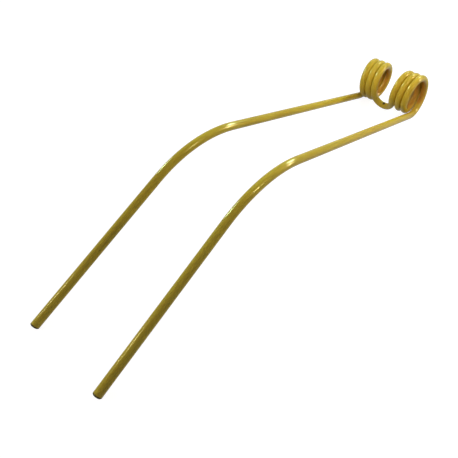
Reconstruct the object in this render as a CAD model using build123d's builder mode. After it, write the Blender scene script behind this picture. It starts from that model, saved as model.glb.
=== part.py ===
"""Double rake tine of round spring wire: two legs, two torsion coils and the bridge between them.

The tine is one bent wire, the same on both sides of the plane X = 0. Its route is drawn for the
right-hand half, from the tip of the leg to the middle of the bridge, with the upper leg level. The
wire is swept along it, tilted until coils and tips stand level, and mirrored.

Sizes are in millimetres and angles in degrees. X runs along the common axis of the coils, the legs
reach towards -Y, and +Z is up as the tine stands on a floor. The origin is on the axis of the
coils, half way between them, where the rake's holder grips the tine.
"""

import os
from itertools import pairwise
from math import asin, atan2, cos, degrees, hypot, radians, sin, tan

from build123d import *

# Wire
wire_diameter = 9.0
tip_chamfer = 0.8

# Closed turns of each coil, and how far the wire winds from the leg to the bridge
coil_bore = 36.4
turn_gap = 0.3
coil_sweep = 1050.0

# First turn, which opens out and straightens towards the leg
leg_offset = 5.0
opening_sweep = 76.0
straightening_sweep = 40.0

# Bridge, a narrow loop that carries on from the last turn of both coils
coil_spacing = 27.8
shoulder_radius = 20.4
shoulder_angle = 38.0

# Legs, from the coil over the knee to the tip
upper_leg = 268.0
upper_splay = 0.7
knee_radius = 141.0
knee_angle = 42.5
lower_leg = 175.2
lower_splay = 1.0

# Arcs that make up the route of the opening turn, and of the closed turns after it
opening_arcs = 4
closed_arcs = 18

wire_radius = wire_diameter / 2
turn_radius = coil_bore / 2 + wire_radius
turn_pitch = wire_diameter + turn_gap
leg_radius = turn_radius + leg_offset

# Rates in millimetres for each degree of sweep: along X, outwards, and along X where the leg starts
pitch_rate = turn_pitch / 360
opening_rate = 2 * leg_offset / opening_sweep
splay_rate = hypot(radians(leg_radius), opening_rate) * tan(radians(upper_splay))

# The leg starts just behind the lowest point, where the opening turn runs level
start_angle = -90 - degrees(atan2(opening_rate, radians(leg_radius)))


def fading(sweep, span):
    """Share that falls evenly from 1 at the start of the coil to 0 after a span of degrees."""
    return max(0.0, 1 - sweep / span)


def turn_radius_at(sweep):
    """Radius from the coil's axis to the centre of the wire."""
    return turn_radius + leg_offset * fading(sweep, opening_sweep) ** 2


def coil_point(sweep):
    """Centre of the wire after so many degrees of coil, counted from the leg."""
    angle = radians(start_angle + sweep)
    straightening = fading(sweep, straightening_sweep) ** 2 * straightening_sweep / 2
    across = coil_spacing / 2 + pitch_rate * (coil_sweep - sweep)
    across -= (pitch_rate - splay_rate) * straightening
    return Vector(across, turn_radius_at(sweep) * cos(angle), turn_radius_at(sweep) * sin(angle))


def coil_direction(sweep):
    """Unit vector along the wire at that point, on its way from the leg to the bridge."""
    angle = radians(start_angle + sweep)
    across = (pitch_rate - splay_rate) * fading(sweep, straightening_sweep) - pitch_rate
    outward = -opening_rate * fading(sweep, opening_sweep)
    around = radians(turn_radius_at(sweep))
    return Vector(
        across,
        outward * cos(angle) - around * sin(angle),
        outward * sin(angle) + around * cos(angle),
    ).normalized()


# Corners of the leg, and the lowest spot on the chamfered end of its tip
leg_start = coil_point(0)
upper_direction = -coil_direction(0)
lower_direction = Vector(0, -cos(radians(knee_angle)), -sin(radians(knee_angle)))
underside = Vector(0, -lower_direction.Z, lower_direction.Y)
lower_direction = (lower_direction + Vector(tan(radians(lower_splay)), 0, 0)).normalized()
knee_turn = radians(upper_direction.get_angle(lower_direction))
knee_setback = knee_radius * tan(knee_turn / 2)
knee_corner = leg_start + upper_direction * (upper_leg + knee_setback)
tip = knee_corner + lower_direction * (knee_setback + lower_leg)
foot = tip - lower_direction * tip_chamfer + underside * wire_radius

# Bridge, in the plane of X and the last turn: a wide shoulder, then a tight loop to the middle
bridge_start = coil_point(coil_sweep)
bridge_direction = coil_direction(coil_sweep)
forward = Vector(0, bridge_direction.Y, bridge_direction.Z).normalized()
shoulder_from = asin(-bridge_direction.X)
shoulder_to = shoulder_from + radians(shoulder_angle)
shoulder_width = shoulder_radius * (cos(shoulder_from) - cos(shoulder_to))
shoulder_length = shoulder_radius * (sin(shoulder_to) - sin(shoulder_from))
loop_width = coil_spacing / 2 - shoulder_width
loop_length = loop_width / cos(shoulder_to) * (1 - sin(shoulder_to))
shoulder_end = bridge_start + forward * shoulder_length - Vector(shoulder_width, 0, 0)
bridge_middle = shoulder_end + forward * loop_length - Vector(loop_width, 0, 0)


def level_tilt(centre):
    """Tilt about X that brings the foot level with the underside of the wire at a centre."""
    reach = centre - foot
    return degrees(asin(wire_radius / hypot(reach.Y, reach.Z)) - atan2(reach.Z, reach.Y))


# Tilt of the standing tine, on its tips and on the lowest spot of the coils or the bridge
low_centres = [coil_point(sweep) for sweep in range(0, int(coil_sweep), 5)] + [bridge_middle]
standing_tilt = max(level_tilt(centre) for centre in low_centres)

# Sweeps at which one arc of the coil's route ends and the next begins
arc_ends = [opening_sweep * arc / opening_arcs for arc in range(opening_arcs)]
for arc in range(closed_arcs + 1):
    arc_ends.append(opening_sweep + (coil_sweep - opening_sweep) * arc / closed_arcs)

# Right-hand half of the wire
with BuildPart() as half_wire:
    with BuildLine() as route:
        FilletPolyline(tip, knee_corner, leg_start, radius=knee_radius)
        for begin, end in pairwise(arc_ends):
            ThreePointArc(coil_point(begin), coil_point((begin + end) / 2), coil_point(end))
        shoulder = TangentArc(bridge_start, shoulder_end, tangent=bridge_direction)
        TangentArc(shoulder_end, bridge_middle, tangent=shoulder % 1)
    with BuildSketch(Plane(origin=tip, z_dir=-lower_direction)):
        Circle(wire_radius)
    sweep(path=route.wire())
    chamfer(half_wire.edges().sort_by(Axis.Y)[0], tip_chamfer)

# Whole tine, standing on its tips and coils
with BuildPart() as tine_wire:
    add(half_wire.part, rotation=(standing_tilt, 0, 0))
    mirror(about=Plane.YZ)

os.makedirs("parts", exist_ok=True)
tine_wire.part.label = "tine_wire"
export_step(tine_wire.part, "parts/tine_wire.step")
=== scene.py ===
"""Looks of a double rake tine: glossy mustard enamel on bent spring wire, in a plain pale studio.

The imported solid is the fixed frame. Everything is in metres: X runs along the axis of the coils,
the legs reach towards -Y, and +Z is up as the tine stands on its tips and its coils.
"""

import logging
import math
from dataclasses import dataclass, field
from enum import Enum
from itertools import pairwise

import bmesh
import bpy
from mathutils import Matrix, Quaternion, Vector


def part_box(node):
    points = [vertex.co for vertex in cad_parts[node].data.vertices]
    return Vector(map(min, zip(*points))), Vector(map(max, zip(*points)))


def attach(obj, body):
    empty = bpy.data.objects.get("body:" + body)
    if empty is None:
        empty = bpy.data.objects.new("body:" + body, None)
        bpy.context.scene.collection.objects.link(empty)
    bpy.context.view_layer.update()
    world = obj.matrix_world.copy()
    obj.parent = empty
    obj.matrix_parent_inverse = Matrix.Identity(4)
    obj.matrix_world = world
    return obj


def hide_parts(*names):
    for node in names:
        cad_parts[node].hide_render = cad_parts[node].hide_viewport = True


Colour = tuple[float, float, float]
Point = tuple[float, float, float]
Span = tuple[float, float]
Output = bpy.types.NodeSocket
InputValue = bpy.types.NodeSocket | float | tuple[float, ...]

UNIT: Span = (0.0, 1.0)

# Attributes of the wire's mesh, which the enamel reads
LINES = "drawn_lines"
# Cut ends: sheared steel, darkened further as painted shade
CUT_AND_SHADE = "cut_end_and_shade"
# Faces towards a coil's axis, which get painted bounce light and shade
PAINTED_BOUNCE = "coil_painted_bounce"

# Background: the strength that is white, and the share of it that the gloss mirrors
WHITE = 1.0
MIRRORED_SHARE = 0.6

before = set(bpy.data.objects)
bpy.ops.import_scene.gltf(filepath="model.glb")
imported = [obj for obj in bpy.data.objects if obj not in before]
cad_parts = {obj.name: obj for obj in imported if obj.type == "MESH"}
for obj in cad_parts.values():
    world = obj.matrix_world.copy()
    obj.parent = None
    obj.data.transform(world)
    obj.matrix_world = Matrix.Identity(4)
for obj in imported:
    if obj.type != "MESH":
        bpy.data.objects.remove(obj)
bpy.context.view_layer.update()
log = logging.getLogger("rake_tine")


class Reach(Enum):
    """What a light takes part in: the matt colour of the enamel, its gloss, or both."""

    BOTH = "both"
    MATT = "matt"
    GLOSS = "gloss"


@dataclass(frozen=True)
class Grain:
    """Noise in the enamel: features in each metre, octaves, and the stretch of it that shows."""

    scale: float
    detail: float
    stretch: Span = UNIT


class NodeGraph:
    """Node tree of one material or world, with short calls to add and join nodes."""

    # Sockets that the Mix node keeps for colours
    FIRST_COLOUR = 6
    SECOND_COLOUR = 7
    MIXED_COLOUR = 2

    def __init__(self, tree: bpy.types.NodeTree) -> None:
        """Takes the node tree of a material or world, and empties it."""
        self.tree = tree
        self.tree.nodes.clear()

    def add(self, kind: str, **sockets: InputValue) -> bpy.types.Node:
        """Adds a node and fills or links its inputs.

        Args:
            kind: Name of the node's type.
            sockets: Values or output sockets by input name, with underscores for spaces.

        Returns:
            The new node.
        """
        node = self.tree.nodes.new(kind)
        for name, value in sockets.items():
            self.feed(node.inputs[name.replace("_", " ")], value)
        return node

    def feed(self, socket: bpy.types.NodeSocket, value: InputValue) -> None:
        """Links an output to an input, or sets the input's value.

        Args:
            socket: Input socket.
            value: Output socket, number or colour.
        """
        if isinstance(value, bpy.types.NodeSocket):
            self.tree.links.new(value, socket)
        else:
            socket.default_value = value

    def noise(self, place: Output, grain: Grain) -> Output:
        """Adds a noise texture of a grain's size and octaves, at a place in metres."""
        node = self.add("ShaderNodeTexNoise", Vector=place, Scale=grain.scale, Detail=grain.detail)
        return node.outputs["Fac"]

    def spread(self, value: Output, from_span: Span, to_span: Span = UNIT) -> Output:
        """Maps one span of numbers to another, with clamping.

        Args:
            value: Number to map.
            from_span: Two numbers that come in.
            to_span: Numbers that these become.

        Returns:
            The mapped number.
        """
        node = self.add("ShaderNodeMapRange", Value=value)
        node.inputs["From Min"].default_value, node.inputs["From Max"].default_value = from_span
        node.inputs["To Min"].default_value, node.inputs["To Max"].default_value = to_span
        return node.outputs["Result"]

    def spots(self, place: Output, grain: Grain, to_span: Span = UNIT) -> Output:
        """Adds a noise texture and stretches it over a span, so that it makes spots."""
        return self.spread(self.noise(place, grain), grain.stretch, to_span)

    def mix(self, share: InputValue, first: InputValue, second: InputValue) -> Output:
        """Mixes two colours.

        Args:
            share: Share of the second colour, 0 to 1.
            first: Colour at share 0.
            second: Colour at share 1.

        Returns:
            The mixed colour.
        """
        node = self.tree.nodes.new("ShaderNodeMix")
        node.data_type = "RGBA"
        self.feed(node.inputs[0], share)
        self.feed(node.inputs[self.FIRST_COLOUR], first)
        self.feed(node.inputs[self.SECOND_COLOUR], second)
        return node.outputs[self.MIXED_COLOUR]

    def attribute(self, name: str) -> Output:
        """Reads an attribute of the mesh.

        Args:
            name: Name of the attribute.

        Returns:
            Its three numbers, or one number three times.
        """
        node = self.tree.nodes.new("ShaderNodeAttribute")
        node.attribute_name = name
        return node.outputs["Vector"]

    def calculate(self, operation: str, first: InputValue, second: InputValue) -> Output:
        """Adds a math node.

        Args:
            operation: Name of the operation.
            first: First number.
            second: Second number.

        Returns:
            The result.
        """
        node = self.tree.nodes.new("ShaderNodeMath")
        node.operation = operation
        self.feed(node.inputs[0], first)
        self.feed(node.inputs[1], second)
        return node.outputs[0]

    def distance(self, place: Output, spot: Point) -> Output:
        """Measures how far a place is from a spot.

        Args:
            place: Coordinates in metres.
            spot: The spot, in metres.

        Returns:
            The distance in metres.
        """
        node = self.tree.nodes.new("ShaderNodeVectorMath")
        node.operation = "DISTANCE"
        self.feed(node.inputs[0], place)
        self.feed(node.inputs[1], spot)
        return node.outputs["Value"]

    def bump(self, height: Output, distance: float, **normal: Output) -> Output:
        """Adds a bump node, where a height of 1 is a real distance in metres."""
        node = self.add("ShaderNodeBump", Strength=1.0, Distance=distance, Height=height, **normal)
        return node.outputs["Normal"]


def rgba(colour: Colour) -> tuple[float, float, float, float]:
    """Adds full opacity to a colour."""
    return (*colour, 1.0)


def grey(level: float) -> tuple[float, float, float, float]:
    """Makes an opaque grey."""
    return (level, level, level, 1.0)


@dataclass(frozen=True)
class WireRoute:
    """Centre line of the bent wire, the same on both sides of the plane X = 0.

    Sizes are in metres and angles in degrees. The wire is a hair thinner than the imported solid, so
    that it stays inside the solid's box.
    """

    wire_radius: float = 0.00447
    turn_radius: float = 0.0227
    turn_pitch: float = 0.0093
    coil_sweep: float = 1050.0
    leg_offset: float = 0.005
    opening_sweep: float = 76.0
    straightening_sweep: float = 40.0
    coil_spacing: float = 0.0278
    shoulder_radius: float = 0.0204
    shoulder_angle: float = 38.0
    upper_leg: float = 0.268
    upper_splay: float = 0.7
    knee_radius: float = 0.141
    knee_angle: float = 42.5
    lower_leg: float = 0.1752
    lower_splay: float = 1.0
    standing_tilt: float = -17.2657
    leg_step: float = 0.004
    coil_step: float = 0.0008
    bridge_step: float = 0.0004
    direction_step: float = 0.5

    @property
    def pitch_rate(self) -> float:
        """Metres along X for each degree of closed turn."""
        return self.turn_pitch / 360

    @property
    def opening_rate(self) -> float:
        """Metres outwards for each degree where the leg starts."""
        return 2 * self.leg_offset / self.opening_sweep

    @property
    def leg_rate(self) -> float:
        """Metres round the coil for each degree where the leg starts."""
        return math.radians(self.turn_radius + self.leg_offset)

    @property
    def splay_rate(self) -> float:
        """Metres along X for each degree where the leg starts."""
        along = math.hypot(self.leg_rate, self.opening_rate)
        return along * math.tan(math.radians(self.upper_splay))

    @property
    def start_angle(self) -> float:
        """Angle round the coil's axis at which the opening turn runs level into the leg."""
        return -90 - math.degrees(math.atan2(self.opening_rate, self.leg_rate))

    def coil_point(self, sweep: float) -> Vector:
        """Finds the wire's centre in the coil.

        Args:
            sweep: Degrees of coil, counted from the leg.

        Returns:
            The point, before the tine is tilted to stand.
        """
        angle = math.radians(self.start_angle + sweep)
        opening = max(0.0, 1 - sweep / self.opening_sweep)
        straight = max(0.0, 1 - sweep / self.straightening_sweep)
        radius = self.turn_radius + self.leg_offset * opening**2
        across = self.coil_spacing / 2 + self.pitch_rate * (self.coil_sweep - sweep)
        across -= (self.pitch_rate - self.splay_rate) * straight**2 * self.straightening_sweep / 2
        return Vector((across, radius * math.cos(angle), radius * math.sin(angle)))

    def coil_direction(self, sweep: float) -> Vector:
        """Finds the way the wire runs in the coil, from the leg to the bridge.

        Args:
            sweep: Degrees of coil, counted from the leg.

        Returns:
            Unit vector along the wire.
        """
        before = self.coil_point(sweep - self.direction_step)
        after = self.coil_point(sweep + self.direction_step)
        return (after - before).normalized()

    def half(self) -> list[Vector]:
        """Follows the right-hand half of the wire.

        Returns:
            Points from the tip to the middle of the bridge, on the standing tine.
        """
        leg_start = self.coil_point(0)
        upper = -self.coil_direction(0)
        knee = math.radians(self.knee_angle)
        splay = math.tan(math.radians(self.lower_splay))
        lower = Vector((splay, -math.cos(knee), -math.sin(knee))).normalized()
        setback = self.knee_radius * math.tan(upper.angle(lower) / 2)
        corner = leg_start + upper * (self.upper_leg + setback)
        tip = corner + lower * (setback + self.lower_leg)
        points = run(tip, corner + lower * setback, self.leg_step)
        points += bend(points[-1], -lower, -upper, self.knee_radius, self.leg_step)[1:]
        points += run(points[-1], leg_start, self.leg_step)[1:]
        steps = round(math.radians(self.coil_sweep) * self.turn_radius / self.coil_step)
        points += [self.coil_point(self.coil_sweep * step / steps) for step in range(1, steps + 1)]
        points += self.bridge(points[-1])[1:]
        tilt = Matrix.Rotation(math.radians(self.standing_tilt), 3, "X")
        return [tilt @ point for point in points]

    def bridge(self, start: Vector) -> list[Vector]:
        """Follows the shoulder and the narrow loop that join the coils.

        Args:
            start: End of the last closed turn.

        Returns:
            Points from there to the middle of the bridge.
        """
        along = self.coil_direction(self.coil_sweep)
        forward = Vector((0, along.y, along.z)).normalized()
        inward = Vector((-1, 0, 0))
        leans = math.asin(-along.x)
        ends = leans + math.radians(self.shoulder_angle)
        turned = forward * math.cos(ends) + inward * math.sin(ends)
        width = self.shoulder_radius * (math.cos(leans) - math.cos(ends))
        loop_radius = (self.coil_spacing / 2 - width) / math.cos(ends)
        points = bend(start, along, turned, self.shoulder_radius, self.bridge_step)
        return points + bend(points[-1], turned, inward, loop_radius, self.bridge_step)[1:]

    def whole(self) -> list[Vector]:
        """Follows the whole wire.

        Returns:
            Points from the right-hand tip to the left-hand one.
        """
        right = self.half()
        left = [Vector((-point.x, point.y, point.z)) for point in reversed(right[:-1])]
        return right + left


def run(start: Vector, end: Vector, step: float) -> list[Vector]:
    """Divides a straight stretch into even steps, none longer than the one given in metres."""
    count = math.ceil((end - start).length / step)
    return [start.lerp(end, index / count) for index in range(count + 1)]


def bend(start: Vector, along: Vector, turned: Vector, radius: float, step: float) -> list[Vector]:
    """Follows an arc from one direction to another.

    Args:
        start: First point.
        along: Unit direction at the start.
        turned: Unit direction at the end.
        radius: Radius of the arc in metres.
        step: Longest step in metres.

    Returns:
        Points of the arc.
    """
    inner = (turned - along * turned.dot(along)).normalized()
    angle = along.angle(turned)
    count = math.ceil(angle * radius / step)
    points = []
    for index in range(count + 1):
        part = angle * index / count
        forward = along * radius * math.sin(part)
        points.append(start + forward + inner * radius * (1 - math.cos(part)))
    return points


@dataclass(frozen=True)
class MustardEnamel:
    """Glossy stoving enamel over drawn spring steel, with the mark of the hook it hung from.

    The enamel is deeper where it pooled. Faces towards a coil's axis get a deeper orange, which is
    painted bounce light and shade. Cut ends are duller and show the steel, darkened further as
    painted shade; the spot under the hook is duller and shows the steel.
    """

    body: Colour = (0.62, 0.475, 0.04)
    thick: Colour = (0.58, 0.41, 0.03)
    thin: Colour = (0.63, 0.51, 0.058)
    # Painted bounce light and shade on the faces towards a coil's axis
    painted_bounce: Colour = (0.57, 0.29, 0.035)
    # Dark cut ends: sheared steel, and partly painted shade where the end faces away from the lamps
    cut_steel_and_shade: Colour = (0.07, 0.06, 0.022)
    bare_steel: Colour = (0.035, 0.028, 0.006)
    pooling: Grain = Grain(22.0, 3.0, (0.38, 0.66))
    mottle: Grain = Grain(420.0, 4.0, (0.35, 0.65))
    mottle_share: float = 0.4
    painted_bounce_span: Span = (0.3, 0.9)
    cut_and_shade_span: Span = (0.2, 0.8)
    gloss: Grain = Grain(160.0, 3.0, (0.3, 0.7))
    gloss_roughness: Span = (0.09, 0.13)
    steel_roughness: float = 0.3
    sheen_level: float = 0.36
    sheen_tint: Colour = (1.0, 0.96, 0.40)
    peel: Grain = Grain(300.0, 2.0)
    peel_height: float = 0.000006
    lines: Grain = Grain(900.0, 3.0)
    line_height: float = 0.000002
    hook_mark: Point = (0.0003, -0.0142, -0.0207)
    hook_mark_radius: float = 0.0023
    hook_mark_edge: float = 0.8
    ragged: Grain = Grain(900.0, 3.0, (0.3, 0.7))
    ragged_depth: float = 0.0005

    def build(self) -> bpy.types.Material:
        """Builds the enamel.

        Returns:
            The material.
        """
        material = bpy.data.materials.new("mustard_enamel")
        material.use_nodes = True
        graph = NodeGraph(material.node_tree)
        place = graph.add("ShaderNodeTexCoord").outputs["Object"]
        # Mask of the cut ends, whose dark colour is partly painted shade
        cut = graph.spread(graph.attribute(CUT_AND_SHADE), self.cut_and_shade_span)
        bare = self.bare_spot(graph, place)
        steel = graph.calculate("MAXIMUM", bare, cut)
        dull = graph.calculate("MULTIPLY", steel, self.steel_roughness)
        gloss = graph.spots(place, self.gloss, self.gloss_roughness)
        shader = graph.add(
            "ShaderNodeBsdfPrincipled",
            Base_Color=self.colour(graph, place, cut, bare),
            Roughness=graph.calculate("MAXIMUM", gloss, dull),
            Normal=self.relief(graph, place),
        )
        shader.inputs["Specular IOR Level"].default_value = self.sheen_level
        shader.inputs["Specular Tint"].default_value = rgba(self.sheen_tint)
        graph.add("ShaderNodeOutputMaterial", Surface=shader.outputs["BSDF"])
        return material

    def colour(self, graph: NodeGraph, place: Output, cut: Output, bare: Output) -> Output:
        """Mixes the enamel's colours, the steel's and the painted bounce light and shade of the
        coils.

        Args:
            graph: Node tree of the enamel.
            place: Coordinates in metres.
            cut: 1 on the cut ends, whose dark colour is partly painted shade, else 0.
            bare: 1 on the hook's spot, else 0.

        Returns:
            The colour.
        """
        colour = graph.mix(graph.spots(place, self.pooling), rgba(self.body), rgba(self.thick))
        mottle = graph.spots(place, self.mottle, (0.0, self.mottle_share))
        colour = graph.mix(mottle, colour, rgba(self.thin))
        # Painted bounce light and shade: a deeper orange on the faces towards a coil's axis
        painted_bounce = graph.spread(graph.attribute(PAINTED_BOUNCE), self.painted_bounce_span)
        colour = graph.mix(painted_bounce, colour, rgba(self.painted_bounce))
        # Cut ends: sheared steel colour, partly painted shade
        colour = graph.mix(cut, colour, rgba(self.cut_steel_and_shade))
        return graph.mix(bare, colour, rgba(self.bare_steel))

    def relief(self, graph: NodeGraph, place: Output) -> Output:
        """Adds the orange peel of the enamel and the lines of the drawn wire under it.

        Args:
            graph: Node tree of the enamel.
            place: Coordinates in metres.

        Returns:
            The bumped normal.
        """
        peel = graph.bump(graph.noise(place, self.peel), self.peel_height)
        lines = graph.noise(graph.attribute(LINES), self.lines)
        return graph.bump(lines, self.line_height, Normal=peel)

    def bare_spot(self, graph: NodeGraph, place: Output) -> Output:
        """Finds the ragged spot that the hook kept free of enamel.

        Args:
            graph: Node tree of the enamel.
            place: Coordinates in metres.

        Returns:
            1 on bare steel, else 0.
        """
        ragged = graph.spots(place, self.ragged, (-self.ragged_depth, self.ragged_depth))
        reach = graph.calculate("ADD", graph.distance(place, self.hook_mark), ragged)
        edge = (self.hook_mark_radius, self.hook_mark_radius * self.hook_mark_edge)
        return graph.spread(reach, edge)


@dataclass
class TineWire:
    """The bent wire itself, from cut tip to cut tip, with its enamel.

    The tip's profile gives the depth of each ring behind the cut end, and how far it is set in. The
    cut colour, partly painted shade, reaches over the first rings of it. End shares are the sizes of
    the rings that close the cut end. The opened share is how much wider than a closed turn the wire
    may run and still get the painted bounce light and shade of a coil.
    """

    route: WireRoute = field(default_factory=WireRoute)
    enamel: MustardEnamel = field(default_factory=MustardEnamel)
    sides: int = 40
    line_stretch: float = 0.02
    opened_share: float = 0.02
    tip_profile: tuple[tuple[float, float], ...] = (
        (0.0, 0.00110),
        (0.00001, 0.00095),
        (0.00005, 0.00081),
        (0.00013, 0.00070),
        (0.00070, 0.00013),
        (0.00081, 0.00005),
        (0.00095, 0.00001),
        (0.00110, 0.0),
        (0.00140, 0.0),
        (0.00210, 0.0),
    )
    cut_and_shade_rings: int = 9
    end_shares: tuple[float, ...] = (0.92, 0.6, 0.3)

    def build(self) -> bpy.types.Object:
        """Builds and dresses the wire.

        Returns:
            The wire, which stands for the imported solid.
        """
        mesh = self.build_mesh()
        wire = bpy.data.objects.new("enamelled_wire", mesh)
        bpy.context.scene.collection.objects.link(wire)
        mesh.materials.append(self.enamel.build())
        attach(wire, "root")
        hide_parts("tine_wire")
        return wire

    def stations(self) -> list[tuple[Vector, float]]:
        """Lists the rings of the tube.

        Returns:
            Centre and radius of each ring, from one cut tip to the other.
        """
        radius = self.route.wire_radius
        points = self.route.whole()
        first = (points[1] - points[0]).normalized()
        last = (points[-2] - points[-1]).normalized()
        head = [(points[0] + first * depth, radius - inset) for depth, inset in self.tip_profile]
        foot = [(points[-1] + last * depth, radius - inset) for depth, inset in self.tip_profile]
        return head + [(point, radius) for point in points[1:-1]] + foot[::-1]

    def build_mesh(self) -> bpy.types.Mesh:
        """Sweeps the wire's round section along the route.

        Returns:
            Closed mesh with both cut ends.
        """
        stations = self.stations()
        shell = bmesh.new()
        shell.verts.layers.float_vector.new(LINES)
        cut = shell.verts.layers.float.new(CUT_AND_SHADE)
        shell.verts.layers.float.new(PAINTED_BOUNCE)
        rings = self.add_rings(shell, stations)
        for ring, next_ring in pairwise(rings):
            self.join_rings(shell, ring, next_ring)
        bare = self.close_end(shell, rings[0], stations[0][0])
        bare += self.close_end(shell, rings[-1], stations[-1][0])
        # The cut colour, partly painted shade, reaches over the first rings of each end
        for ring in rings[:self.cut_and_shade_rings] + rings[-self.cut_and_shade_rings:]:
            bare += ring
        for vertex in bare:
            vertex[cut] = 1.0
        bmesh.ops.recalc_face_normals(shell, faces=shell.faces)
        for face in shell.faces:
            face.smooth = True
        mesh = bpy.data.meshes.new("enamelled_wire")
        shell.to_mesh(mesh)
        shell.free()
        return mesh

    def add_rings(
        self, shell: bmesh.types.BMesh, stations: list[tuple[Vector, float]]
    ) -> list[list[bmesh.types.BMVert]]:
        """Adds the corners of the tube, and what the enamel reads from them.

        Args:
            shell: Mesh that the corners join.
            stations: Centre and radius of each ring.

        Returns:
            Corners of each ring.
        """
        lines = shell.verts.layers.float_vector[LINES]
        painted_bounce = shell.verts.layers.float[PAINTED_BOUNCE]
        side = Vector((1, 0, 0))
        length = 0.0
        rings = []
        for index, (centre, size) in enumerate(stations):
            before = stations[max(index - 1, 0)][0]
            after = stations[min(index + 1, len(stations) - 1)][0]
            along = (after - before).normalized()
            side = (side - along * side.dot(along)).normalized()
            length += (centre - before).length
            ring = []
            for corner in range(self.sides):
                angle = 2 * math.pi * corner / self.sides
                outward = Quaternion(along, angle) @ side
                vertex = shell.verts.new(centre + outward * size)
                # Mask of the painted bounce light and shade in the coils
                vertex[painted_bounce] = self.facing_axis(centre, outward)
                round_wire = (size * math.cos(angle), size * math.sin(angle))
                vertex[lines] = (*round_wire, length * self.line_stretch)
                ring.append(vertex)
            rings.append(ring)
        return rings

    def facing_axis(self, centre: Vector, outward: Vector) -> float:
        """Tells how squarely a side of the wire faces the axis of its coil.

        Args:
            centre: Middle of the wire there.
            outward: Unit vector from the middle to the side.

        Returns:
            1 where it faces the axis, 0 on the outside and on the legs.
        """
        from_axis = Vector((0, centre.y, centre.z))
        opened = from_axis.length / self.route.turn_radius - 1
        closed = min(1.0, max(0.0, 1 - opened / self.opened_share))
        return max(0.0, -outward.dot(from_axis.normalized())) * closed

    def join_rings(
        self,
        shell: bmesh.types.BMesh,
        ring: list[bmesh.types.BMVert],
        next_ring: list[bmesh.types.BMVert],
    ) -> None:
        """Adds the faces between two rings.

        Args:
            shell: Mesh that the faces join.
            ring: Corners of one ring.
            next_ring: Corners of the other.
        """
        for corner in range(self.sides):
            other = (corner + 1) % self.sides
            shell.faces.new((ring[corner], ring[other], next_ring[other], next_ring[corner]))

    def close_end(
        self, shell: bmesh.types.BMesh, ring: list[bmesh.types.BMVert], centre: Vector
    ) -> list[bmesh.types.BMVert]:
        """Closes a cut end with a flat disk.

        Args:
            shell: Mesh that the disk joins.
            ring: Outermost ring of the end.
            centre: Middle of the end.

        Returns:
            The disk's own corners.
        """
        added = []
        outer = ring
        for share in self.end_shares:
            inner = [shell.verts.new(centre.lerp(vertex.co, share)) for vertex in ring]
            self.join_rings(shell, outer, inner)
            outer = inner
            added += inner
        middle = shell.verts.new(centre)
        for corner in range(self.sides):
            shell.faces.new((outer[corner], outer[(corner + 1) % self.sides], middle))
        return added + [middle]


@dataclass(frozen=True)
class PaleFloor:
    """Plain floor that the camera sees as white, with the tine's soft shadow on it.

    The seen tone and the glow are what the camera and the gloss see, and the tone is what throws
    light back on the tine.
    """

    tone: float = 0.35
    seen_tone: float = 0.25
    glow: float = 0.93
    half_width: float = 6.0

    def build(self, height: float) -> bpy.types.Object:
        """Builds the floor.

        Args:
            height: Height of the floor, under the tine.

        Returns:
            The floor.
        """
        half = self.half_width
        mesh = bpy.data.meshes.new("studio_floor")
        corners = [(-half, -half, 0), (half, -half, 0), (half, half, 0), (-half, half, 0)]
        mesh.from_pydata(corners, [], [(0, 1, 2, 3)])
        floor = bpy.data.objects.new("studio_floor", mesh)
        floor.location.z = height
        bpy.context.scene.collection.objects.link(floor)
        floor.data.materials.append(self.material())
        return floor

    def material(self) -> bpy.types.Material:
        """Builds the floor's material.

        Returns:
            The material, brighter where the camera or a reflection sees it.
        """
        material = bpy.data.materials.new("pale_floor")
        material.use_nodes = True
        graph = NodeGraph(material.node_tree)
        seen = seen_directly(graph)
        tone = graph.mix(seen, grey(self.tone), grey(self.seen_tone))
        matt = graph.add("ShaderNodeBsdfDiffuse", Color=tone)
        strength = graph.calculate("MULTIPLY", seen, self.glow)
        glow = graph.add("ShaderNodeEmission", Strength=strength)
        both = graph.add("ShaderNodeAddShader")
        graph.feed(both.inputs[0], matt.outputs[0])
        graph.feed(both.inputs[1], glow.outputs[0])
        graph.add("ShaderNodeOutputMaterial", Surface=both.outputs[0])
        return material


def seen_directly(graph: NodeGraph) -> Output:
    """Tells the rays that show the background from the light that falls on the tine.

    Args:
        graph: Node tree that needs it.

    Returns:
        1 for a camera or transmission ray, the mirrored share for a glossy one, else 0.
    """
    path = graph.add("ShaderNodeLightPath").outputs
    mirrored = graph.calculate("MULTIPLY", path["Is Glossy Ray"], MIRRORED_SHARE)
    seen = graph.calculate("MAXIMUM", path["Is Camera Ray"], mirrored)
    return graph.calculate("MAXIMUM", seen, path["Is Transmission Ray"])


@dataclass(frozen=True)
class SoftLamp:
    """One round area lamp of the studio, and a glint at its place for the gloss of the enamel.

    Powers are in watts, the spread in degrees. A glint of 0 is left out.
    """

    name: str
    place: Point
    power: float
    size: float
    colour: Colour
    glint: float = 0.0
    aim: Point = (0.0, -0.2, 0.0)
    spread: float = 180.0
    reach: Reach = Reach.BOTH

    def build(self) -> None:
        """Hangs the lamp and its glint."""
        self.hang(self.name, self.power, self.reach)
        if self.glint:
            self.hang(self.name + "_glint", self.glint, Reach.GLOSS)

    def hang(self, name: str, power: float, reach: Reach) -> None:
        """Hangs one light at the lamp's place, where the camera doesn't see it.

        Args:
            name: Name of the light.
            power: Power in watts.
            reach: What the light takes part in.
        """
        data = bpy.data.lights.new(name, "AREA")
        data.shape = "DISK"
        data.size = self.size
        data.energy = power
        data.color = self.colour
        data.spread = math.radians(self.spread)
        light = bpy.data.objects.new(name, data)
        light.location = self.place
        towards = Vector(self.aim) - Vector(self.place)
        light.rotation_euler = towards.to_track_quat("-Z", "Y").to_euler()
        light.visible_camera = False
        light.visible_glossy = reach is not Reach.MATT
        light.visible_diffuse = reach is not Reach.GLOSS
        bpy.context.scene.collection.objects.link(light)


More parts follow.
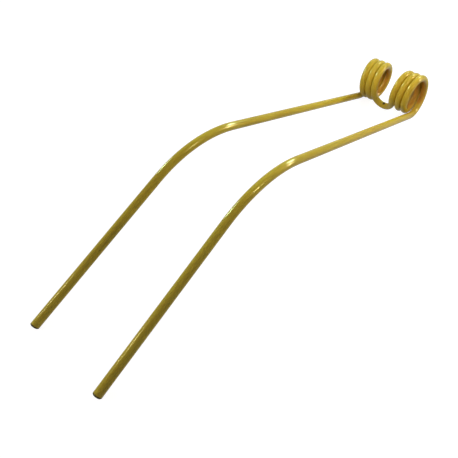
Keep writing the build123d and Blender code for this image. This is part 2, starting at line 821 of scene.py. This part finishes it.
@dataclass(frozen=True)
class PhotoCamera:
    """Camera at the photograph's place, above the tips and on the right of the tine.

    The place is in metres, the angles are in degrees, and the lens and sensor in millimetres.
    """

    place: Point = (0.25278, -0.55472, 0.33788)
    down: float = 46.7509
    heading: float = 42.4966
    roll: float = -1.1033
    lens: float = 36.1244
    sensor: float = 36.0
    shift: tuple[float, float] = (-0.0677, -0.0087)
    nearest: float = 0.01

    def build(self) -> bpy.types.Object:
        """Sets up the camera.

        Returns:
            The camera, which is the scene's own.
        """
        data = bpy.data.cameras.new("photo_camera")
        data.lens = self.lens
        data.sensor_width = self.sensor
        data.shift_x, data.shift_y = self.shift
        data.clip_start = self.nearest
        camera = bpy.data.objects.new("photo_camera", data)
        turn = Matrix.Rotation(math.radians(self.heading), 4, "Z")
        tip = Matrix.Rotation(math.radians(90 - self.down), 4, "X")
        level = Matrix.Rotation(math.radians(self.roll), 4, "Z")
        camera.matrix_world = Matrix.Translation(Vector(self.place)) @ turn @ tip @ level
        bpy.context.scene.collection.objects.link(camera)
        bpy.context.scene.camera = camera
        return camera


@dataclass
class Studio:
    """Floor, world, lamps and camera around the tine."""

    floor: PaleFloor = field(default_factory=PaleFloor)
    camera: PhotoCamera = field(default_factory=PhotoCamera)
    ambient: float = 0.035
    lamps: tuple[SoftLamp, ...] = (
        SoftLamp(
            "back_lamp",
            place=(0.0, 1.1, 0.92),
            power=8.0,
            size=0.16,
            colour=(0.70, 1.0, 0.8),
            glint=17.0,
        ),
        SoftLamp(
            "right_lamp",
            place=(0.647, -0.006, 0.581),
            power=0.3,
            size=0.12,
            colour=(1.0, 0.92, 0.8),
            glint=4.5,
        ),
        SoftLamp(
            "side_lamp",
            place=(0.764, 0.712, 0.399),
            power=4.2,
            size=0.16,
            colour=(1.0, 0.82, 0.7),
            glint=8.0,
        ),
        SoftLamp(
            "coil_lamp",
            place=(0.171, -0.067, 0.336),
            power=0.52,
            size=0.2,
            colour=(1.0, 0.82, 0.65),
            reach=Reach.MATT,
        ),
        SoftLamp(
            "bridge_lamp",
            place=(0.06, -0.2, 0.2),
            power=0.022,
            size=0.1,
            colour=(1.0, 0.75, 0.55),
            aim=(0.0, 0.0, 0.0),
            spread=60.0,
            reach=Reach.MATT,
        ),
        SoftLamp(
            "front_lamp",
            place=(-0.924, -1.368, 1.027),
            power=8.6,
            size=0.15,
            colour=(1.0, 0.86, 0.78),
            glint=7.5,
            reach=Reach.MATT,
        ),
        SoftLamp(
            "left_lamp",
            place=(-1.837, -0.271, 1.0),
            power=10.8,
            size=0.42,
            colour=(0.72, 1.0, 0.85),
            glint=36.0,
        ),
    )

    def build(self) -> None:
        """Builds the studio."""
        self.floor.build(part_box("tine_wire")[0].z)
        self.light_world()
        for lamp in self.lamps:
            lamp.build()
            log.info("hung %s", lamp.name)
        self.camera.build()
        bpy.context.scene.view_settings.view_transform = "Standard"

    def light_world(self) -> None:
        """Lights the tine softly from all round, on a white background."""
        world = bpy.data.worlds.new("pale_studio")
        bpy.context.scene.world = world
        world.use_nodes = True
        graph = NodeGraph(world.node_tree)
        strength = graph.spread(seen_directly(graph), UNIT, (self.ambient, WHITE))
        backdrop = graph.add("ShaderNodeBackground", Color=grey(WHITE), Strength=strength)
        graph.add("ShaderNodeOutputWorld", Surface=backdrop.outputs[0])


def main() -> None:
    """Dresses the tine and sets up the studio."""
    logging.basicConfig(level=logging.INFO)
    wire = TineWire().build()
    log.info("built %s with %d faces", wire.name, len(wire.data.polygons))
    Studio().build()
    log.info("built the studio")


if __name__ == "__main__":
    main()
